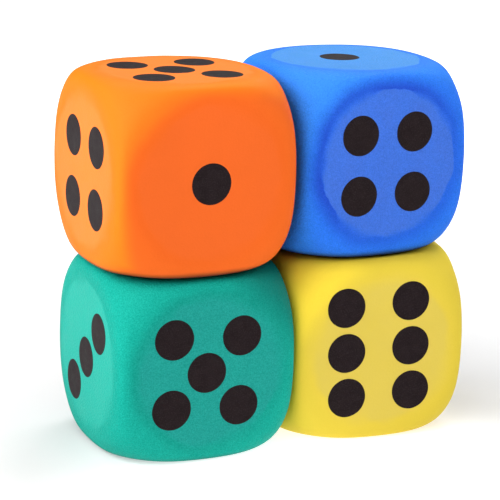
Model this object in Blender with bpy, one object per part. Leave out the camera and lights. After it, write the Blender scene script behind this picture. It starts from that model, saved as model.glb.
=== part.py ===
"""Set of four giant coated-foam dice, stacked two by two.

Each die is a closed-cell foam core inside a sprayed elastomer skin, with a
round spot printed for every pip.  The skin has one small vent through the
middle of its "two" face.  The teal die carries the orange one and the yellow
die carries the blue one; all four are loose and lift or slide apart.

Frame: metres, +Z up, the row of dice runs along +X, -Y is the front.
"""
import math

import bmesh
import bpy
from mathutils import Matrix, Vector

# ---- driving dimensions, in metres ------------------------------------------
DIE_SIZE = 0.160                     # distance between opposite flat faces
ROUND_BODY = 0.503 * DIE_SIZE        # half size of the rounded body under the flats
BALL_RADIUS = 0.720 * DIE_SIZE       # ball that blunts its corners
BLEND = 20.0                         # how tightly the sides roll into each other
SKIN_THICKNESS = 0.0012
CLEARANCE = 0.0003                   # gap between pieces that touch
VENT_RADIUS = 0.0010
PIP_RADIUS = 0.108 * DIE_SIZE
PIP_THICKNESS = 0.0004

# half the distance between spot centres, by printed pattern
TWO_SPREAD = 0.175 * DIE_SIZE
THREE_SPREAD = 0.180 * DIE_SIZE
FOUR_SPREAD = 0.162 * DIE_SIZE
FIVE_SPREAD = 0.188 * DIE_SIZE
SIX_COLUMN = 0.186 * DIE_SIZE
SIX_ROW = 0.250 * DIE_SIZE

# how the stack stands
STACK_X = -0.0806                    # puts the whole stack over the origin
STACK_Y = -0.0016
ROW_PITCH = 1.029 * DIE_SIZE         # teal centre to yellow centre
ORANGE_X = -0.045 * DIE_SIZE
ORANGE_Y = -0.038 * DIE_SIZE
BLUE_X = 0.995 * DIE_SIZE
BLUE_Y = 0.050 * DIE_SIZE
TEAL_TURN = -1.3                     # degrees about +Z
ORANGE_TURN = -0.3
YELLOW_TURN = -4.3
BLUE_TURN = 1.8

# mesh steps
OUTER_SIDE_STEPS = 8                 # along each side of a flat face
OUTER_ROLL_STEPS = 5                 # from a face's rim to the next face
INNER_SIDE_STEPS = 4
INNER_ROLL_STEPS = 2
VENT_STEPS = 4 * INNER_SIDE_STEPS
PIP_STEPS = 24
SHARP_ANGLE = math.radians(32.0)

FACES = {
    "front": (Vector((0, -1, 0)), Vector((1, 0, 0)), Vector((0, 0, 1))),
    "back": (Vector((0, 1, 0)), Vector((-1, 0, 0)), Vector((0, 0, 1))),
    "left": (Vector((-1, 0, 0)), Vector((0, -1, 0)), Vector((0, 0, 1))),
    "right": (Vector((1, 0, 0)), Vector((0, 1, 0)), Vector((0, 0, 1))),
    "top": (Vector((0, 0, 1)), Vector((1, 0, 0)), Vector((0, 1, 0))),
    "bottom": (Vector((0, 0, -1)), Vector((1, 0, 0)), Vector((0, -1, 0))),
}

# Opposite faces of a die add up to seven.  "spots" names the faces whose
# printed spots are modelled: those turned away from the other dice.
DICE = {
    "teal": {
        "centre": (0.0, 0.0), "level": 0, "turn": TEAL_TURN,
        "spots": {"front": 5, "left": 3, "back": 2}, "vent": "back",
    },
    "yellow": {
        "centre": (ROW_PITCH, 0.0), "level": 0, "turn": YELLOW_TURN,
        "spots": {"front": 6, "right": 3, "back": 1}, "vent": "top",
    },
    "orange": {
        "centre": (ORANGE_X, ORANGE_Y), "level": 1, "turn": ORANGE_TURN,
        "spots": {"top": 5, "front": 1, "left": 4, "back": 6}, "vent": "bottom",
    },
    "blue": {
        "centre": (BLUE_X, BLUE_Y), "level": 1, "turn": BLUE_TURN,
        "spots": {"top": 1, "front": 4, "right": 2, "back": 3}, "vent": "right",
    },
}

# The printing sits a little off centre on some faces: right and up by so many
# hundredths of the die's size, and turned by so many degrees.
PRINT_OFFSET = {
    ("orange", "left"): (1.6, -0.6, -1.0),
    ("orange", "top"): (-0.7, -1.1, -0.7),
    ("blue", "front"): (-1.2, 1.4, 0.4),
    ("blue", "top"): (-2.9, 1.7, 0.0),
    ("teal", "front"): (-2.2, -0.4, -1.5),
    ("teal", "left"): (-0.7, -1.9, -1.0),
    ("yellow", "front"): (-2.0, 1.5, 2.2),
}

# linear base colours
SKIN_COLOURS = {
    "orange": (0.92, 0.230, 0.030),
    "blue": (0.050, 0.170, 0.760),
    "teal": (0.022, 0.330, 0.270),
    "yellow": (0.82, 0.600, 0.080),
}
FOAM_COLOUR = (0.78, 0.72, 0.55)
PRINT_COLOUR = (0.018, 0.016, 0.018)


# ---- materials --------------------------------------------------------------
def make_material(name, colour, roughness, metallic=0.0):
    material = bpy.data.materials.new(name)
    material.use_nodes = True
    shader = material.node_tree.nodes["Principled BSDF"]
    shader.inputs["Base Color"].default_value = (*colour, 1.0)
    shader.inputs["Roughness"].default_value = roughness
    shader.inputs["Metallic"].default_value = metallic
    material.diffuse_color = (*colour, 1.0)
    return material


def skin_material(die):
    return make_material(die + "_skin", SKIN_COLOURS[die], 0.42)


def foam_material():
    return make_material("foam", FOAM_COLOUR, 0.95)


def print_material():
    return make_material("print", PRINT_COLOUR, 0.38)


# ---- the rounded die shape --------------------------------------------------
def fullness(x, y, z):
    """1 on the rounded body that the flat faces are cut from, less inside it.

    It blends a cube and a ball, so the sides roll smoothly into the corners.
    """
    cube = sum(abs(c / ROUND_BODY) ** BLEND for c in (x, y, z))
    ball = (math.hypot(x, y, z) / BALL_RADIUS) ** BLEND
    return (cube + ball) ** (1.0 / BLEND)


def surface_point(direction):
    """Where a ray from the middle leaves a full-size die."""
    reach = 1.0 / fullness(*direction)
    flat = 0.5 * DIE_SIZE / max(abs(c) for c in direction)
    return direction * min(reach, flat)


def rim_radius(angle):
    """Edge of a flat face, measured from the face's middle."""
    low = 0.0
    high = 0.5 * DIE_SIZE
    for _ in range(40):
        middle = 0.5 * (low + high)
        if fullness(middle * math.cos(angle), middle * math.sin(angle), 0.5 * DIE_SIZE) < 1.0:
            low = middle
        else:
            high = middle
    return low


def ring_angles(side_steps):
    count = 4 * side_steps
    return [-math.pi / 4.0 + 2.0 * math.pi * i / count for i in range(count)]


def edge_direction(angle):
    """Where a ray from the face's middle meets the edge of a unit square."""
    reach = max(abs(math.cos(angle)), abs(math.sin(angle)))
    return math.cos(angle) / reach, math.sin(angle) / reach


def add_die_shell(bm, inset, side_steps, roll_steps, inward, vent_face=None):
    """Six faces with rolled edges; the vented face is left open in its middle.

    Returns the loop of vertices round that opening.
    """
    scale = 1.0 - 2.0 * inset / DIE_SIZE
    half = 0.5 * DIE_SIZE
    angles = ring_angles(side_steps)
    count = len(angles)
    opening = None
    for name, (normal, across, up) in FACES.items():
        rings = []
        for step in range(roll_steps + 1):
            part = step / roll_steps
            ring = []
            for angle in angles:
                rim = rim_radius(angle)
                spot = normal * half + across * rim * math.cos(angle) + up * rim * math.sin(angle)
                if step > 0:
                    u, v = edge_direction(angle)
                    end = (normal + across * u + up * v).normalized()
                    spot = surface_point(spot.normalized().slerp(end, part))
                ring.append(bm.verts.new(spot * scale))
            rings.append(ring)
        for inner, outer in zip(rings, rings[1:]):
            for i in range(count):
                j = (i + 1) % count
                add_face(bm, (inner[i], outer[i], outer[j]), inward)
                add_face(bm, (inner[i], outer[j], inner[j]), inward)
        if name != vent_face:
            add_face(bm, rings[0], inward)
            continue
        opening = []
        share = count // VENT_STEPS
        for i in range(VENT_STEPS):
            angle = angles[i * share]
            spot = normal * half * scale
            spot += across * VENT_RADIUS * math.cos(angle) + up * VENT_RADIUS * math.sin(angle)
            opening.append(bm.verts.new(spot))
        for i in range(VENT_STEPS):
            outline = [rings[0][(i * share + k) % count] for k in range(share + 1)]
            corner = [opening[(i + 1) % VENT_STEPS], opening[i]]
            add_face(bm, outline + corner, inward)
    return opening


def add_face(bm, verts, inward):
    bm.faces.new(list(reversed(verts)) if inward else list(verts))


def finish_mesh(bm, name):
    bmesh.ops.remove_doubles(bm, verts=bm.verts, dist=0.000002)
    bm.normal_update()
    mesh = bpy.data.meshes.new(name)
    bm.to_mesh(mesh)
    bm.free()
    mesh.shade_smooth()
    mesh.set_sharp_from_angle(angle=SHARP_ANGLE)
    return mesh


def mark_flat_rims(bm):
    """Give every flat face a crisp outline."""
    for edge in bm.edges:
        if len(edge.link_faces) != 2:
            continue
        sides = sorted(len(face.verts) for face in edge.link_faces)
        if sides[0] == 3 and sides[1] > 3:
            edge.smooth = False


# ---- sub-parts --------------------------------------------------------------
def skin_mesh(die, vent_face):
    bm = bmesh.new()
    outside = add_die_shell(bm, 0.0, OUTER_SIDE_STEPS, OUTER_ROLL_STEPS, False, vent_face)
    inside = add_die_shell(bm, SKIN_THICKNESS, INNER_SIDE_STEPS, INNER_ROLL_STEPS, True, vent_face)
    for i in range(VENT_STEPS):
        j = (i + 1) % VENT_STEPS
        bm.faces.new((outside[i], outside[j], inside[j], inside[i]))
    mark_flat_rims(bm)
    return finish_mesh(bm, die + "_skin")


def core_mesh(die):
    bm = bmesh.new()
    inset = SKIN_THICKNESS + CLEARANCE
    add_die_shell(bm, inset, INNER_SIDE_STEPS, INNER_ROLL_STEPS, False)
    mark_flat_rims(bm)
    return finish_mesh(bm, die + "_core")


def pip_mesh(name, centre, normal, across, up):
    bm = bmesh.new()
    loops = []
    for height in (CLEARANCE, CLEARANCE + PIP_THICKNESS):
        loop = []
        for i in range(PIP_STEPS):
            angle = 2.0 * math.pi * i / PIP_STEPS
            spot = centre + normal * height
            spot += across * PIP_RADIUS * math.cos(angle) + up * PIP_RADIUS * math.sin(angle)
            loop.append(bm.verts.new(spot))
        loops.append(loop)
    below, above = loops
    bm.faces.new(above)
    bm.faces.new(list(reversed(below)))
    for i in range(PIP_STEPS):
        j = (i + 1) % PIP_STEPS
        bm.faces.new((below[i], below[j], above[j], above[i]))
    return finish_mesh(bm, name)


def pip_pattern(count):
    if count == 2:
        return [(TWO_SPREAD, TWO_SPREAD), (-TWO_SPREAD, -TWO_SPREAD)]
    if count == 3:
        return [(THREE_SPREAD, THREE_SPREAD), (0.0, 0.0), (-THREE_SPREAD, -THREE_SPREAD)]
    if count == 6:
        rows = (SIX_ROW, 0.0, -SIX_ROW)
        return [(side * SIX_COLUMN, row) for side in (-1, 1) for row in rows]
    spread = FIVE_SPREAD if count == 5 else FOUR_SPREAD
    corners = [(x * spread, y * spread) for y in (1, -1) for x in (-1, 1)]
    middle = [(0.0, 0.0)]
    return {1: middle, 4: corners, 5: corners + middle}[count]


def pip_places(die, face, count):
    """Centres of the spots on a face, in the die's own frame."""
    normal, across, up = FACES[face]
    right, rise, turn = PRINT_OFFSET.get((die, face), (0.0, 0.0, 0.0))
    shift_u = right * 0.01 * DIE_SIZE
    shift_v = rise * 0.01 * DIE_SIZE
    cos_t = math.cos(math.radians(turn))
    sin_t = math.sin(math.radians(turn))
    places = []
    for u, v in pip_pattern(count):
        place_u = shift_u + cos_t * u - sin_t * v
        place_v = shift_v + sin_t * u + cos_t * v
        places.append(normal * 0.5 * DIE_SIZE + across * place_u + up * place_v)
    return places


def place(name, mesh, material, matrix):
    mesh.materials.append(material)
    obj = bpy.data.objects.new(name, mesh)
    bpy.context.scene.collection.objects.link(obj)
    obj.matrix_world = matrix
    return obj


def build_die(die, plan):
    x, y = plan["centre"]
    z = 0.5 * DIE_SIZE + plan["level"] * (DIE_SIZE + CLEARANCE)
    matrix = Matrix.Translation((STACK_X + x, STACK_Y + y, z))
    matrix @= Matrix.Rotation(math.radians(plan["turn"]), 4, "Z")
    place(die + "_skin", skin_mesh(die, plan["vent"]), skin_material(die), matrix)
    place(die + "_core", core_mesh(die), bpy.data.materials["foam"], matrix)
    for face, count in plan["spots"].items():
        normal, across, up = FACES[face]
        for number, centre in enumerate(pip_places(die, face, count), start=1):
            name = f"{die}_pip_{face}_{number}"
            mesh = pip_mesh(name, centre, normal, across, up)
            place(name, mesh, bpy.data.materials["print"], matrix)


def clear_scene():
    for obj in list(bpy.data.objects):
        bpy.data.objects.remove(obj, do_unlink=True)
    for mesh in list(bpy.data.meshes):
        bpy.data.meshes.remove(mesh)
    for material in list(bpy.data.materials):
        bpy.data.materials.remove(material)


def main():
    clear_scene()
    foam_material()
    print_material()
    for die, plan in DICE.items():
        build_die(die, plan)


main()
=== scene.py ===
"""Looks for the stack of four giant coated-foam dice.

Each die gets a finely stepped skin in place of its CAD skin, with the flats,
rolled edges, vent and slight unevenness of a sprayed foam moulding, and a
printed spot for every pip on all six faces.
"""

import math

import bmesh
import bpy
import numpy as np
from mathutils import Matrix, Vector, noise


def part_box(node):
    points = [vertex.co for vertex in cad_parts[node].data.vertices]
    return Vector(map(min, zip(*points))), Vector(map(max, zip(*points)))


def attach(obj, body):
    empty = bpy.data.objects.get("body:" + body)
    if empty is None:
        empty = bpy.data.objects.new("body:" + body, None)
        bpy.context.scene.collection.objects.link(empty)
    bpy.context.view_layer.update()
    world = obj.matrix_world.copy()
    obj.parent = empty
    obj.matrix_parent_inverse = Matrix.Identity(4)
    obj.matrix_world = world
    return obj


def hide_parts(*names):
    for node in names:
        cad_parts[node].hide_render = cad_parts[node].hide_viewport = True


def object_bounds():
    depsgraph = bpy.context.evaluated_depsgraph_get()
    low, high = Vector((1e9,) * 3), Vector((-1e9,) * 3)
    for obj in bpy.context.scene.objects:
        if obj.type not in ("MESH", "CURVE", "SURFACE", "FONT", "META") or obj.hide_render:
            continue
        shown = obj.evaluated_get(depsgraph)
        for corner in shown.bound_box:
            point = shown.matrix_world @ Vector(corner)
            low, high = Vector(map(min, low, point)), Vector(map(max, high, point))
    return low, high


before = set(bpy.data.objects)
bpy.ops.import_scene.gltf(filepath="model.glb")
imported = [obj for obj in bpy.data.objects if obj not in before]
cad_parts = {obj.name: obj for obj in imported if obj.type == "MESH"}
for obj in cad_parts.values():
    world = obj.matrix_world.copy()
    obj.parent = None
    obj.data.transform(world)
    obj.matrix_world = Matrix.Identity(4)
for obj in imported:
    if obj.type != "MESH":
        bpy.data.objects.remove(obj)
cad_low, cad_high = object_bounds()

# ---- sizes, in metres -------------------------------------------------------
skin_low, skin_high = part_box("teal_skin")
DIE = skin_high.z - skin_low.z       # across flats
HALF = 0.5 * DIE                     # from the middle to a flat
ROUND_BODY = 0.503 * DIE             # half size of the rounded body under the flats
BALL_RADIUS = 0.720 * DIE            # ball that blunts its corners
BLEND = 20.0                         # how tightly the sides roll into each other
SKIN_THICKNESS = 0.0012
VENT_RADIUS = 0.0010
VENT_WALL = (                        # depth and share of the radius down the vent
    (0.00005, 1.25),
    (0.00035, 1.0),
    (SKIN_THICKNESS, 1.0),
)
SPOT_RADIUS = 0.108 * DIE
PRINT_RISE = 0.00010                 # how far the ink stands off the skin
PRINT_EDGE = 0.00035                 # width of the ink's sloping edge

TWO_SPREAD = 0.175 * DIE
THREE_SPREAD = 0.180 * DIE
FOUR_SPREAD = 0.162 * DIE
FIVE_SPREAD = 0.188 * DIE
SIX_COLUMN = 0.186 * DIE
SIX_ROW = 0.250 * DIE

# mesh steps
AROUND = 96                          # vertices round each face, a multiple of 8
FLAT_RINGS = 12
ROLL_RINGS = 18
SPOT_STEPS = 72
HALVINGS = 44                        # steps of a search for an edge

FACES = {
    "front": (Vector((0, -1, 0)), Vector((1, 0, 0)), Vector((0, 0, 1))),
    "back": (Vector((0, 1, 0)), Vector((-1, 0, 0)), Vector((0, 0, 1))),
    "left": (Vector((-1, 0, 0)), Vector((0, -1, 0)), Vector((0, 0, 1))),
    "right": (Vector((1, 0, 0)), Vector((0, 1, 0)), Vector((0, 0, 1))),
    "top": (Vector((0, 0, 1)), Vector((1, 0, 0)), Vector((0, 1, 0))),
    "bottom": (Vector((0, 0, -1)), Vector((1, 0, 0)), Vector((0, -1, 0))),
}

# turn: degrees about +Z, as in the CAD.  spots: pips on each face.
# resting: faces that press on the ground or on another die.
DICE = {
    "teal": {
        "turn": -1.3, "seed": 3.1, "vent": "back",
        "spots": {"front": 5, "back": 2, "left": 3, "right": 4, "top": 1, "bottom": 6},
        "resting": ("bottom", "top", "right"),
    },
    "yellow": {
        "turn": -4.3, "seed": 17.7, "vent": "top",
        "spots": {"front": 6, "back": 1, "left": 4, "right": 3, "top": 2, "bottom": 5},
        "resting": ("bottom", "top", "left"),
    },
    "orange": {
        "turn": -0.3, "seed": 29.3, "vent": "bottom",
        "spots": {"front": 1, "back": 6, "left": 4, "right": 3, "top": 5, "bottom": 2},
        "resting": ("bottom", "right"),
    },
    "blue": {
        "turn": 1.8, "seed": 41.9, "vent": "right",
        "spots": {"front": 4, "back": 3, "left": 5, "right": 2, "top": 1, "bottom": 6},
        "resting": ("bottom", "left"),
    },
}

# right and up by hundredths of the die's size, and a turn in degrees
PRINT_OFFSET = {
    ("orange", "left"): (1.6, -0.6, -1.0),
    ("orange", "top"): (-0.7, -1.1, -0.7),
    ("blue", "front"): (-1.2, 1.4, 0.4),
    ("blue", "top"): (-2.9, 1.7, 0.0),
    ("teal", "front"): (-2.2, -0.4, -1.5),
    ("teal", "left"): (-0.7, -1.9, -1.0),
    ("yellow", "front"): (-2.0, 1.5, 2.2),
}
# faces whose spots have CAD nodes to stand for
CAD_SPOT_FACES = {
    "teal": ("front", "left", "back"),
    "yellow": ("front", "right", "back"),
    "orange": ("top", "front", "left", "back"),
    "blue": ("top", "front", "right", "back"),
}

UNEVEN = 0.00022                     # height of the skin's broad unevenness
UNEVEN_SIZE = 0.030                  # how far apart its rises are
PRESSED = 0.00005                    # how far a pressed face sinks
PRESS_BEGINS = 0.90                  # heights where a press begins to tell and
PRESS_FULL = 0.99                    # is full, as shares of the way to the flat


# ---- the rounded die shape --------------------------------------------------
def fullness(point):
    """1 on the rounded body that the flat faces are cut from, less inside it."""
    cube = sum(abs(c / ROUND_BODY) ** BLEND for c in point)
    return (cube + (point.length / BALL_RADIUS) ** BLEND) ** (1.0 / BLEND)


def outward(point):
    """The surface normal at a point on or near the die's surface."""
    sizes = [abs(c) for c in point]
    if max(sizes) > 0.49999 * DIE and fullness(point) < 1.0:
        biggest = max(sizes)
        return Vector([math.copysign(1.0, c) if abs(c) == biggest else 0.0 for c in point])
    ball = (point.length / BALL_RADIUS) ** (BLEND - 2.0) / BALL_RADIUS ** 2
    slope = [(s / ROUND_BODY) ** (BLEND - 1.0) / ROUND_BODY + ball * s for s in sizes]
    return Vector([math.copysign(s, c) for s, c in zip(slope, point)]).normalized()


def surface_point(direction):
    """Where a ray from the middle leaves the die."""
    flat = HALF / max(abs(c) for c in direction)
    return direction * min(1.0 / fullness(direction), flat)


def last_inside(low, high, point_at):
    """The largest value between two whose point is still inside the rounded body."""
    for _ in range(HALVINGS):
        middle = 0.5 * (low + high)
        if fullness(point_at(middle)) < 1.0:
            low = middle
        else:
            high = middle
    return low


def rim_radius(angle):
    """Edge of a flat face, measured from the face's middle."""
    across = math.cos(angle)
    up = math.sin(angle)
    return last_inside(0.0, HALF, lambda radius: Vector((radius * across, radius * up, HALF)))


def face_height(u, v):
    """Height of the surface over a face, from the die's middle."""
    if fullness(Vector((u, v, HALF))) <= 1.0:
        return HALF
    return last_inside(0.45 * DIE, HALF, lambda height: Vector((u, v, height)))


def ring_angles(count):
    """Evenly spaced angles that start at a corner of the face."""
    return [-math.pi / 4.0 + 2.0 * math.pi * i / count for i in range(count)]


def face_template():
    """Rings of (across, up, outward) points from a face's middle to its edges."""
    angles = ring_angles(AROUND)
    rings = []
    for step in range(1, FLAT_RINGS + 1):
        share = step / FLAT_RINGS
        ring = []
        for angle in angles:
            radius = VENT_RADIUS + share * (rim_radius(angle) - VENT_RADIUS)
            ring.append((radius * math.cos(angle), radius * math.sin(angle), HALF))
        rings.append(ring)
    for step in range(1, ROLL_RINGS + 1):
        share = step / ROLL_RINGS
        ring = []
        for angle in angles:
            rim = rim_radius(angle)
            start = Vector((rim * math.cos(angle), rim * math.sin(angle), HALF))
            reach = max(abs(math.cos(angle)), abs(math.sin(angle)))
            end = Vector((math.cos(angle) / reach, math.sin(angle) / reach, 1.0))
            ray = start.normalized().slerp(end.normalized(), share)
            ring.append(tuple(surface_point(ray)))
        rings.append(ring)
    return angles, rings


def resting_share(point, plan):
    """1 on a face that presses on something, fading to 0 round its edges."""
    share = 0.0
    for name in plan["resting"]:
        height = point.dot(FACES[name][0]) / HALF
        pressed = (height - PRESS_BEGINS) / (PRESS_FULL - PRESS_BEGINS)
        share = max(share, min(max(pressed, 0.0), 1.0))
    return share


def unevenness(point, plan):
    """How far the skin stands off the moulded shape at a point of it."""
    place = point / UNEVEN_SIZE + Vector((plan["seed"], -plan["seed"], 0.5 * plan["seed"]))
    broad = noise.noise(place)
    small = noise.noise(place * 2.7 + Vector((5.0, 9.0, 2.0)))
    height = UNEVEN * (broad + 0.35 * small)
    share = resting_share(point, plan)
    return height * (1.0 - share) - PRESSED * share


# ---- meshes -----------------------------------------------------------------
def finished_mesh(name, bm, points):
    """A smooth mesh that keeps each vertex's place in its own die, for the materials."""
    mesh = bpy.data.meshes.new(name)
    bm.to_mesh(mesh)
    bm.free()
    attribute = mesh.attributes.new("die_co", "FLOAT_VECTOR", "POINT")
    attribute.data.foreach_set("vector", np.array(points, np.float32).ravel())
    mesh.shade_smooth()
    return mesh


def vent_wall(bm, loop, angles, axes):
    """The rounded lip and the wall of a vent, down from the innermost ring."""
    normal, across, up = axes
    last = loop
    for depth, width in VENT_WALL:
        loop = []
        for angle in angles:
            flat = across * (VENT_RADIUS * math.cos(angle)) + up * (VENT_RADIUS * math.sin(angle))
            loop.append(bm.verts.new(flat * width + normal * (HALF - depth)))
        for i in range(AROUND):
            j = (i + 1) % AROUND
            bm.faces.new((loop[i], last[i], last[j], loop[j]))
        last = loop


def skin_mesh(name, plan, template):
    """A die's whole skin, from the same rings of points on each of its faces."""
    angles, rings = template
    bm = bmesh.new()
    for face, axes in FACES.items():
        normal, across, up = axes
        loops = []
        for ring in rings:
            loops.append([bm.verts.new(across * u + up * v + normal * w) for u, v, w in ring])
        for inner, outer in zip(loops, loops[1:]):
            for i in range(AROUND):
                j = (i + 1) % AROUND
                bm.faces.new((inner[i], outer[i], outer[j], inner[j]))
        if face == plan["vent"]:
            vent_wall(bm, loops[0], angles, axes)
        else:
            middle = bm.verts.new(normal * HALF)
            for i in range(AROUND):
                bm.faces.new((middle, loops[0][i], loops[0][(i + 1) % AROUND]))
    bmesh.ops.remove_doubles(bm, verts=bm.verts, dist=0.000002)
    points = [vert.co.copy() for vert in bm.verts]
    for vert in bm.verts:
        in_vent = max(abs(c) for c in vert.co) < HALF - 0.0001 and vert.co.length < HALF
        if not in_vent:
            vert.co += outward(vert.co) * unevenness(vert.co, plan)
    return finished_mesh(name, bm, points)


def spot_mesh(name, plan, face, place_u, place_v, number):
    """A round printed spot that follows the skin below it."""
    normal, across, up = FACES[face]
    bm = bmesh.new()
    seed = Vector((plan["seed"] + number, 3.0 * number, place_u * 50.0))

    def point(radius, angle, rise):
        ragged = noise.noise(seed + Vector((math.cos(angle), math.sin(angle), 0.0)) * 2.2)
        radius *= 1.0 + 0.006 * ragged
        u = place_u + radius * math.cos(angle)
        v = place_v + radius * math.sin(angle)
        flat = across * u + up * v + normal * face_height(u, v)
        return flat + normal * (unevenness(flat, plan) + rise)

    steps = [2.0 * math.pi * i / SPOT_STEPS for i in range(SPOT_STEPS)]
    level = SPOT_RADIUS - PRINT_EDGE
    profile = [(share * level, PRINT_RISE) for share in (0.25, 0.5, 0.75, 0.92, 1.0)]
    profile.append((SPOT_RADIUS - 0.35 * PRINT_EDGE, 0.75 * PRINT_RISE))
    profile.append((SPOT_RADIUS, -0.00002))
    middle = bm.verts.new(point(0.0, 0.0, PRINT_RISE))
    last = None
    for radius, rise in profile:
        loop = [bm.verts.new(point(radius, angle, rise)) for angle in steps]
        for i in range(SPOT_STEPS):
            j = (i + 1) % SPOT_STEPS
            if last is None:
                bm.faces.new((middle, loop[i], loop[j]))
            else:
                bm.faces.new((last[i], loop[i], loop[j], last[j]))
        last = loop
    return finished_mesh(name, bm, [vert.co.copy() for vert in bm.verts])


def spot_pattern(count):
    """Where the middles of a face's spots are, before its print offset."""
    if count == 2:
        return [(TWO_SPREAD, TWO_SPREAD), (-TWO_SPREAD, -TWO_SPREAD)]
    if count == 3:
        return [(THREE_SPREAD, THREE_SPREAD), (0.0, 0.0), (-THREE_SPREAD, -THREE_SPREAD)]
    if count == 6:
        rows = (SIX_ROW, 0.0, -SIX_ROW)
        return [(side * SIX_COLUMN, row) for side in (-1, 1) for row in rows]
    spread = FIVE_SPREAD if count == 5 else FOUR_SPREAD
    corners = [(x * spread, y * spread) for y in (1, -1) for x in (-1, 1)]
    middle = [(0.0, 0.0)]
    return {1: middle, 4: corners, 5: corners + middle}[count]


def spot_places(die, face, count):
    """A face's spots with its print offset and turn."""
    right, rise, turn = PRINT_OFFSET.get((die, face), (0.0, 0.0, 0.0))
    cos_t = math.cos(math.radians(turn))
    sin_t = math.sin(math.radians(turn))
    places = []
    for u, v in spot_pattern(count):
        place_u = 0.01 * right * DIE + cos_t * u - sin_t * v
        place_v = 0.01 * rise * DIE + sin_t * u + cos_t * v
        places.append((place_u, place_v))
    return places


# ---- looks ------------------------------------------------------------------
FLAT_RIM = 0.398 * DIE               # where a flat's colour ends
WANDER = 0.08 * DIE                  # how far that edge wanders in and out
# painted shade: the dark contact shadow where a die meets what it rests on
CONTACT_SHADE_FULL = 0.0014                  # heights above the resting side, for the painted contact shadow
CONTACT_SHADE_END = 0.0085
CONTACT_SHADE = (0.012, 0.010, 0.010)
INK_DEEP = (0.0114, 0.0066, 0.0076)
INK_THIN = (0.0169, 0.0107, 0.0120)
INK_GRIT = (0.040, 0.031, 0.032)
FOAM_OLD = (0.74, 0.66, 0.46)
FOAM_NEW = (0.82, 0.76, 0.58)
FOAM_PORE = (0.42, 0.34, 0.20)
DULL_IOR = 1.13                      # the coat and the ink shine very little

# how fine each noise is: about its features to the metre
PATCHES = 14.0
OUTLINE_BLUR = 22.0
OUTLINE = 26.0
SWELL = 45.0
MOTTLE = 60.0
INK_CLOUD = 130.0
ORANGE_PEEL = 560.0
FOAM_CELLS = 900.0
SPECKLE = 900.0
WEAVE = 1100.0
FINE_PEEL = 1900.0

# roll and flat: base colours of the rolled edges and of the flats, whose paler tone is partly a
# milky finish and partly painted sheen.  shaded_groove: painted shade in the groove beside a
# flat.
# _lit_side: painted light, lit copies of roll and flat for the top and left sides.  band and
# contact_shade: how strong the groove's painted shade and the painted contact shadow are; reach:
# how wide the groove's shade is, in die sizes.  corner: towards the corner that gets
# painted_corner_colour.
# soft: the least and most that a flat's outline is blurred, and lift: how far the flats sit above
# the
# middle, in die sizes.  grain: strength of the orange peel.  fleck: of the colour flecks.
SKIN_LOOKS = {
    "orange": {
        "roll": (0.79, 0.129, 0.0145), "roll_lit_side": (0.86, 0.186, 0.0095),
        "flat": (0.770, 0.124, 0.0182), "flat_lit_side": (0.86, 0.201, 0.0235),
        "shaded_groove": (0.76, 0.114, 0.0130), "band": 0.8, "reach": 0.085, "contact_shade": 0.85,
        "corner": (-1.0, -1.0, 1.0), "painted_corner_colour": (0.86, 0.178, 0.012),
        "soft": (0.020, 0.070), "lift": 0.0, "grain": 0.20, "fleck": 0.018,
    },
    "blue": {
        "roll": (0.0240, 0.180, 0.84), "roll_lit_side": (0.0290, 0.215, 0.85),
        "flat": (0.0530, 0.153, 0.632), "flat_lit_side": (0.0600, 0.262, 0.640),
        "shaded_groove": (0.0150, 0.072, 0.56), "band": 1.0, "reach": 0.125, "contact_shade": 0.85,
        "corner": (-1.0, -1.0, 1.0), "painted_corner_colour": (0.036, 0.236, 0.86),
        "soft": (0.004, 0.045), "lift": 0.018, "grain": 1.30, "fleck": 0.150,
    },
    "teal": {
        "roll": (0.0067, 0.358, 0.280), "roll_lit_side": (0.0067, 0.358, 0.280),
        "flat": (0.0125, 0.290, 0.248), "flat_lit_side": (0.0106, 0.408, 0.322),
        "shaded_groove": (0.0035, 0.210, 0.166), "band": 0.55, "reach": 0.085, "contact_shade": 0.3,
        "corner": (1.0, -1.0, 1.0), "painted_corner_colour": (0.0035, 0.195, 0.158),
        "soft": (0.004, 0.060), "lift": 0.0, "grain": 0.90, "fleck": 0.170,
    },
    "yellow": {
        "roll": (0.708, 0.540, 0.0515), "roll_lit_side": (0.735, 0.553, 0.0480),
        "flat": (0.666, 0.510, 0.0830), "flat_lit_side": (0.72, 0.565, 0.088),
        "shaded_groove": (0.74, 0.55, 0.060), "band": 0.5, "reach": 0.085, "contact_shade": 0.0,
        "corner": (-1.0, -1.0, 1.0), "painted_corner_colour": (0.93, 0.70, 0.052),
        "soft": (0.020, 0.080), "lift": 0.0, "grain": 0.20, "fleck": 0.018,
    },
}


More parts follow.
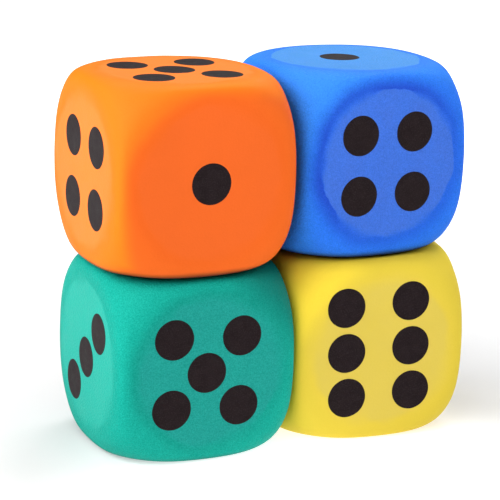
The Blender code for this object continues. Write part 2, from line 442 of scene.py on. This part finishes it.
# ---- materials --------------------------------------------------------------
class Nodes:
    """Short calls for building a node tree."""

    def __init__(self, name):
        self.material = bpy.data.materials.new(name)
        self.material.use_nodes = True
        self.tree = self.material.node_tree
        self.shader = self.tree.nodes["Principled BSDF"]

    def add(self, kind, **values):
        node = self.tree.nodes.new(kind)
        for key, value in values.items():
            setattr(node, key, value)
        return node

    def link(self, value, socket):
        if isinstance(value, bpy.types.NodeSocket):
            self.tree.links.new(value, socket)
        else:
            socket.default_value = value

    def math(self, operation, a, b=0.0, c=0.0):
        node = self.add("ShaderNodeMath", operation=operation)
        for value, socket in zip((a, b, c), node.inputs):
            self.link(value, socket)
        return node.outputs[0]

    def vector(self, operation, a, b=(0.0, 0.0, 0.0)):
        node = self.add("ShaderNodeVectorMath", operation=operation)
        self.link(a, node.inputs[0])
        self.link(b, node.inputs[1])
        return node.outputs["Value" if operation in ("DOT_PRODUCT", "LENGTH") else "Vector"]

    def noise(self, place, scale, detail=2.0, roughness=0.5):
        node = self.add("ShaderNodeTexNoise")
        self.link(place, node.inputs["Vector"])
        node.inputs["Scale"].default_value = scale
        node.inputs["Detail"].default_value = detail
        node.inputs["Roughness"].default_value = roughness
        return node.outputs["Fac"]

    def range(self, value, low, high, to_low, to_high, smooth=False):
        node = self.add("ShaderNodeMapRange")
        if smooth:
            node.interpolation_type = "SMOOTHSTEP"
        for item, index in ((value, 0), (low, 1), (high, 2), (to_low, 3), (to_high, 4)):
            self.link(item, node.inputs[index])
        return node.outputs[0]

    def parts(self, vector):
        node = self.add("ShaderNodeSeparateXYZ")
        self.link(vector, node.inputs[0])
        return node.outputs

    def grey(self, value):
        colour = self.add("ShaderNodeCombineColor")
        for socket in colour.inputs[:3]:
            self.link(value, socket)
        return colour.outputs[0]

    def mix(self, share, a, b, blend="MIX"):
        node = self.add("ShaderNodeMix", data_type="RGBA", blend_type=blend)
        self.link(share, node.inputs["Factor"])
        self.link(a, node.inputs[6])
        self.link(b, node.inputs[7])
        return node.outputs[2]

    def bump(self, height, distance, strength, normal=None):
        node = self.add("ShaderNodeBump")
        node.inputs["Distance"].default_value = distance
        self.link(strength, node.inputs["Strength"])
        self.link(height, node.inputs["Height"])
        if normal is not None:
            self.link(normal, node.inputs["Normal"])
        return node.outputs["Normal"]

    def die_place(self, seed=0.0):
        node = self.add("ShaderNodeAttribute", attribute_name="die_co")
        if not seed:
            return node.outputs["Vector"]
        return self.vector("ADD", node.outputs["Vector"], (seed, 0.37 * seed, -0.61 * seed))


def rgba(colour):
    """A colour with the opaque alpha that a colour socket takes."""
    return (*colour, 1.0)


def flat_masks(n, look, shifted):
    """The flat of the nearest face, its ragged edge, and the distance from its middle."""
    # a flat may sit off the middle of its face
    place = n.vector("SUBTRACT", n.die_place(), (0.0, 0.0, look["lift"] * DIE))
    x, y, z = n.parts(n.vector("ABSOLUTE", place))
    top = n.math("MAXIMUM", n.math("MAXIMUM", x, y), z)
    square = n.vector("DOT_PRODUCT", place, place)
    beyond = n.math("SUBTRACT", square, n.math("MULTIPLY", top, top))
    radius = n.math("SQRT", n.math("MAXIMUM", beyond, 0.0))
    wander = n.math("SUBTRACT", n.noise(shifted, OUTLINE, 3.0, 0.6), 0.5)
    edge = n.math("ADD", radius, n.math("MULTIPLY", wander, WANDER))
    least, most = (share * DIE for share in look["soft"])
    blur = n.noise(shifted, OUTLINE_BLUR, 2.0, 0.5)
    blur = n.range(blur, 0.38, 0.66, least, most, smooth=True)
    inside = n.math("SUBTRACT", FLAT_RIM, blur)
    outside = n.math("ADD", FLAT_RIM, blur)
    flat = n.range(edge, inside, outside, 1.0, 0.0, smooth=True)
    return flat, edge, radius


def skin_tones(n, look, masks, mottle):
    """The coat's colour before its fine speckle, with painted light, shade and sheen."""
    flat, edge, radius = masks
    rolled = n.math("SUBTRACT", 1.0, flat)
    x, y, z = n.parts(n.die_place())
    # painted light: the top and left sides, facing the main lamps, get lit copies of the colours
    toward_lamps = n.math("MAXIMUM", n.math("MULTIPLY", x, -1.0), z)
    away_from_lamps = n.math("MAXIMUM", x, n.math("MULTIPLY", z, -1.0))
    away_from_lamps = n.math("MAXIMUM", away_from_lamps, n.math("ABSOLUTE", y))
    lead = n.math("SUBTRACT", toward_lamps, away_from_lamps)
    lit_side = n.range(lead, -0.10 * DIE, 0.05 * DIE, 0.0, 1.0, smooth=True)
    roll = n.mix(lit_side, rgba(look["roll"]), rgba(look["roll_lit_side"]))
    flat_colour = n.mix(lit_side, rgba(look["flat"]), rgba(look["flat_lit_side"]))
    # the flats' paler tone: partly a milky finish, partly painted sheen
    milky_and_sheen = n.math("MULTIPLY", flat, n.range(mottle, 0.3, 0.7, 0.80, 1.0))
    base = n.mix(milky_and_sheen, roll, flat_colour)
    # painted highlight at one front corner; on teal it is a painted shadow instead
    corner = n.vector("DOT_PRODUCT", n.die_place(), look["corner"])
    corner = n.range(corner, 0.96 * DIE, 1.26 * DIE, 0.0, 1.0, smooth=True)
    base = n.mix(n.math("MULTIPLY", corner, rolled), base, rgba(look["painted_corner_colour"]))
    # painted shade in the groove beside a flat, weaker at the lower right and on the lit sides
    reach = FLAT_RIM + look["reach"] * DIE
    groove_shade = n.range(edge, FLAT_RIM, reach, look["band"], 0.0, smooth=True)
    groove_shade = n.math("MULTIPLY", groove_shade, rolled)
    groove_shade = n.math("MULTIPLY", groove_shade, n.range(lit_side, 0.0, 1.0, 1.0, 0.2))
    upper_left = n.math("SUBTRACT", z, x)
    weaker = n.range(upper_left, -0.40 * DIE, 0.20 * DIE, 0.55, 1.0)
    base = n.mix(n.math("MULTIPLY", groove_shade, weaker), base, rgba(look["shaded_groove"]))
    # painted contact shadow round the side the die rests on, outside its flat
    height = n.math("ADD", z, HALF)
    contact_shade = n.range(height, CONTACT_SHADE_FULL, CONTACT_SHADE_END, look["contact_shade"], 0.0, smooth=True)
    contact_shade = n.math("MULTIPLY", contact_shade, n.range(radius, 0.385 * DIE, 0.41 * DIE, 0.0, 1.0))
    return n.mix(contact_shade, base, rgba(CONTACT_SHADE))


def skin_material(name, look, seed):
    """A sprayed elastomer coat: orange peel on the rolls, smoother milky flats, painted light in
    its colour.
    """
    n = Nodes(name)
    shifted = n.die_place(seed)
    masks = flat_masks(n, look, shifted)
    flat = masks[0]
    mottle = n.noise(shifted, MOTTLE, 4.0, 0.6)
    base = skin_tones(n, look, masks, mottle)
    # broad patches, colour flecks and pale dust
    patches = n.range(n.noise(shifted, PATCHES, 3.0, 0.55), 0.25, 0.75, 0.97, 1.03)
    speckle = n.noise(shifted, SPECKLE, 2.0, 0.6)
    fleck = n.range(speckle, 0.25, 0.75, -look["fleck"], look["fleck"])
    tinted = n.mix(1.0, base, n.grey(n.math("ADD", patches, fleck)), "MULTIPLY")
    dust = n.grey(n.math("MULTIPLY", fleck, 0.03))
    n.link(n.mix(1.0, tinted, dust, "ADD"), n.shader.inputs["Base Color"])
    # finish: the flats are smoother
    rough = n.range(mottle, 0.3, 0.7, 0.52, 0.60)
    rough = n.math("SUBTRACT", rough, n.math("MULTIPLY", flat, 0.14))
    n.link(rough, n.shader.inputs["Roughness"])
    peel = n.noise(shifted, ORANGE_PEEL, 1.0, 0.5)
    fine = n.noise(shifted, FINE_PEEL, 2.0, 0.5)
    height = n.math("ADD", peel, n.math("MULTIPLY", fine, 0.35))
    strength = n.range(flat, 0.0, 1.0, look["grain"], 0.8 * look["grain"])
    swell = n.bump(n.noise(shifted, SWELL, 2.0, 0.5), 0.0010, 0.12)
    n.link(n.bump(height, 0.0008, strength, swell), n.shader.inputs["Normal"])
    n.shader.inputs["IOR"].default_value = DULL_IOR
    return n.material


def ink_material():
    """Dull black print with pale grit and the weave of the screen."""
    n = Nodes("printed_ink")
    place = n.die_place()
    cloud = n.noise(place, INK_CLOUD, 3.0, 0.6)
    grit = n.noise(place, SPECKLE, 2.0, 0.6)
    base = n.mix(n.range(cloud, 0.3, 0.7, 0.0, 1.0), rgba(INK_DEEP), rgba(INK_THIN))
    base = n.mix(n.range(grit, 0.50, 0.80, 0.0, 0.60), base, rgba(INK_GRIT))
    n.link(base, n.shader.inputs["Base Color"])
    n.link(n.range(cloud, 0.3, 0.7, 0.42, 0.55), n.shader.inputs["Roughness"])
    weave = n.noise(place, WEAVE, 2.0, 0.5)
    n.link(n.bump(weave, 0.00012, 0.5), n.shader.inputs["Normal"])
    n.shader.inputs["IOR"].default_value = DULL_IOR
    return n.material


def foam_material():
    """Open-celled foam, yellowed in patches."""
    n = Nodes("foam_core")
    texture = n.add("ShaderNodeTexCoord")
    place = texture.outputs["Object"]
    cells = n.add("ShaderNodeTexVoronoi")
    n.link(place, cells.inputs["Vector"])
    cells.inputs["Scale"].default_value = FOAM_CELLS
    cell = cells.outputs["Distance"]
    tint = n.noise(place, 40.0, 3.0, 0.5)
    base = n.mix(n.range(tint, 0.3, 0.7, 0.0, 1.0), rgba(FOAM_OLD), rgba(FOAM_NEW))
    base = n.mix(n.range(cell, 0.0, 0.25, 0.45, 0.0), base, rgba(FOAM_PORE))
    n.link(base, n.shader.inputs["Base Color"])
    n.link(n.range(tint, 0.3, 0.7, 0.90, 1.0), n.shader.inputs["Roughness"])
    n.link(n.bump(cell, 0.0005, 0.8), n.shader.inputs["Normal"])
    return n.material


# ---- building the dice ------------------------------------------------------
def add_piece(name, mesh, material, matrix, body):
    """A shown piece that rides with a body."""
    mesh.materials.append(material)
    obj = bpy.data.objects.new(name, mesh)
    bpy.context.scene.collection.objects.link(obj)
    obj.matrix_world = matrix
    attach(obj, body)
    return obj


def build_die(die, plan, template, ink, foam):
    """A die's coat and spots, and the look of its core."""
    low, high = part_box(die + "_skin")
    body = die + "_die"
    matrix = Matrix.Translation((low + high) / 2.0)
    matrix @= Matrix.Rotation(math.radians(plan["turn"]), 4, "Z")
    material = skin_material(die + "_coat", SKIN_LOOKS[die], plan["seed"])
    name = die + "_coat"
    coat = add_piece(name, skin_mesh(name, plan, template), material, matrix, body)
    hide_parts(die + "_skin")
    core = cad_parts[die + "_core"]
    core.data.materials.clear()
    core.data.materials.append(foam)
    for face, count in plan["spots"].items():
        for number, (u, v) in enumerate(spot_places(die, face, count), start=1):
            name = f"{die}_spot_{face}_{number}"
            mesh = spot_mesh(name, plan, face, u, v, number)
            spot = add_piece(name, mesh, ink, matrix, body)
            if face in CAD_SPOT_FACES[die]:
                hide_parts(f"{die}_pip_{face}_{number}")


# ---- floor, light and camera ------------------------------------------------
FLOOR_HALF = 8.0
FLOOR_GLOW = 0.10                    # light from the whole floor
FOOT_GLOW = 0.77                     # more of it in front of the stack's foot
FAR_GLOW = 0.85                      # and further out
FOOT_PLACE = (0.0, -0.15, 0.0)
BOX_DISTANCE = 2.0
BOX_SIZE = 1.1
STUDIO_GLOW = 0.01                   # light from the room's far side
LENS = 157.95                        # millimetres, on a 36 mm sensor
CAMERA_PLACE = (-0.7984, -1.6518, 0.6327)
CAMERA_TURN = -25.49                 # degrees
CAMERA_DOWN = 14.557
CAMERA_ROLL = 1.577

# soft boxes: degrees round from the front towards the left, degrees up, watts
SOFT_BOXES = {
    "left_high": (100.0, 42.0, 11.4),
    "left_front": (78.0, 33.0, 13.1),
    "left_low": (95.0, 20.0, 10.0),
    "front_left": (50.0, 35.0, 19.2),
    "front_high": (20.0, 45.0, 5.1),
    "front_right": (-30.0, 35.0, 4.3),
    "right": (-75.0, 30.0, 16.6),
    "right_back": (-130.0, 45.0, 14.7),
    "back_high": (180.0, 60.0, 15.0),
    "back_low": (205.0, 22.0, 1.3),
}


def build_floor():
    """A pale table that glows, more in front of the stack and further out."""
    bm = bmesh.new()
    bmesh.ops.create_grid(bm, x_segments=16, y_segments=16, size=FLOOR_HALF)
    mesh = bpy.data.meshes.new("floor")
    bm.to_mesh(mesh)
    bm.free()
    n = Nodes("pale_floor")
    place = n.add("ShaderNodeTexCoord").outputs["Object"]
    cloud = n.noise(place, 1.5, 2.0, 0.5)
    n.link(n.grey(n.range(cloud, 0.3, 0.7, 0.60, 0.63)), n.shader.inputs["Base Color"])
    n.shader.inputs["Roughness"].default_value = 0.85
    n.shader.inputs["Emission Color"].default_value = (1.0, 1.0, 1.0, 1.0)
    foot = n.vector("LENGTH", n.vector("SUBTRACT", place, FOOT_PLACE))
    glow = n.range(foot, 0.08, 0.26, FLOOR_GLOW + FOOT_GLOW, FLOOR_GLOW, smooth=True)
    far = n.vector("LENGTH", place)
    glow = n.math("ADD", glow, n.range(far, 0.18, 1.20, 0.0, FAR_GLOW))
    n.link(glow, n.shader.inputs["Emission Strength"])
    mesh.materials.append(n.material)
    floor = bpy.data.objects.new("floor", mesh)
    bpy.context.scene.collection.objects.link(floor)


def add_soft_box(name, azimuth, elevation, power):
    """A square soft box that faces the middle of the stack."""
    data = bpy.data.lights.new(name, "AREA")
    data.shape = "SQUARE"
    data.size = BOX_SIZE
    data.energy = power
    a = math.radians(azimuth)
    e = math.radians(elevation)
    away = Vector((-math.sin(a) * math.cos(e), -math.cos(a) * math.cos(e), math.sin(e)))
    light = bpy.data.objects.new(name, data)
    light.location = (cad_low + cad_high) / 2.0 + away * BOX_DISTANCE
    light.rotation_mode = "QUATERNION"
    light.rotation_quaternion = away.to_track_quat("Z", "Y")
    bpy.context.scene.collection.objects.link(light)


def build_world():
    """A nearly dark studio, a little brighter behind the stack."""
    world = bpy.data.worlds.new("studio")
    world.use_nodes = True
    tree = world.node_tree
    texture = tree.nodes.new("ShaderNodeTexCoord")
    parts = tree.nodes.new("ShaderNodeSeparateXYZ")
    tree.links.new(texture.outputs["Generated"], parts.inputs[0])
    glow = tree.nodes.new("ShaderNodeMapRange")
    tree.links.new(parts.outputs["Y"], glow.inputs["Value"])
    glow.inputs["From Min"].default_value = -0.3
    glow.inputs["From Max"].default_value = 0.6
    glow.inputs["To Min"].default_value = 0.0
    glow.inputs["To Max"].default_value = STUDIO_GLOW
    tree.links.new(glow.outputs[0], tree.nodes["Background"].inputs["Strength"])
    tree.nodes["Background"].inputs["Color"].default_value = (1.0, 1.0, 1.0, 1.0)
    bpy.context.scene.world = world


def build_light():
    """The studio's faint glow and its soft boxes."""
    build_world()
    for name, (azimuth, elevation, power) in SOFT_BOXES.items():
        add_soft_box(name, azimuth, elevation, power)


def build_camera():
    """In front of the stack, to its left and a little above it."""
    data = bpy.data.cameras.new("camera")
    data.sensor_width = 36.0
    data.lens = LENS
    data.clip_start = 0.05
    data.clip_end = 50.0
    camera = bpy.data.objects.new("camera", data)
    camera.location = CAMERA_PLACE
    turn = Matrix.Rotation(math.radians(CAMERA_TURN), 4, "Z")
    pitch = Matrix.Rotation(math.radians(90.0 - CAMERA_DOWN), 4, "X")
    roll = Matrix.Rotation(math.radians(CAMERA_ROLL), 4, "Z")
    camera.rotation_mode = "QUATERNION"
    camera.rotation_quaternion = (turn @ pitch @ roll).to_quaternion()
    bpy.context.scene.collection.objects.link(camera)
    bpy.context.scene.camera = camera


build_camera()
face_rings = face_template()
printed_ink = ink_material()
core_foam = foam_material()
for die_name, die_plan in DICE.items():
    build_die(die_name, die_plan, face_rings, printed_ink, core_foam)
build_floor()
build_light()
bpy.context.scene.view_settings.view_transform = "Standard"
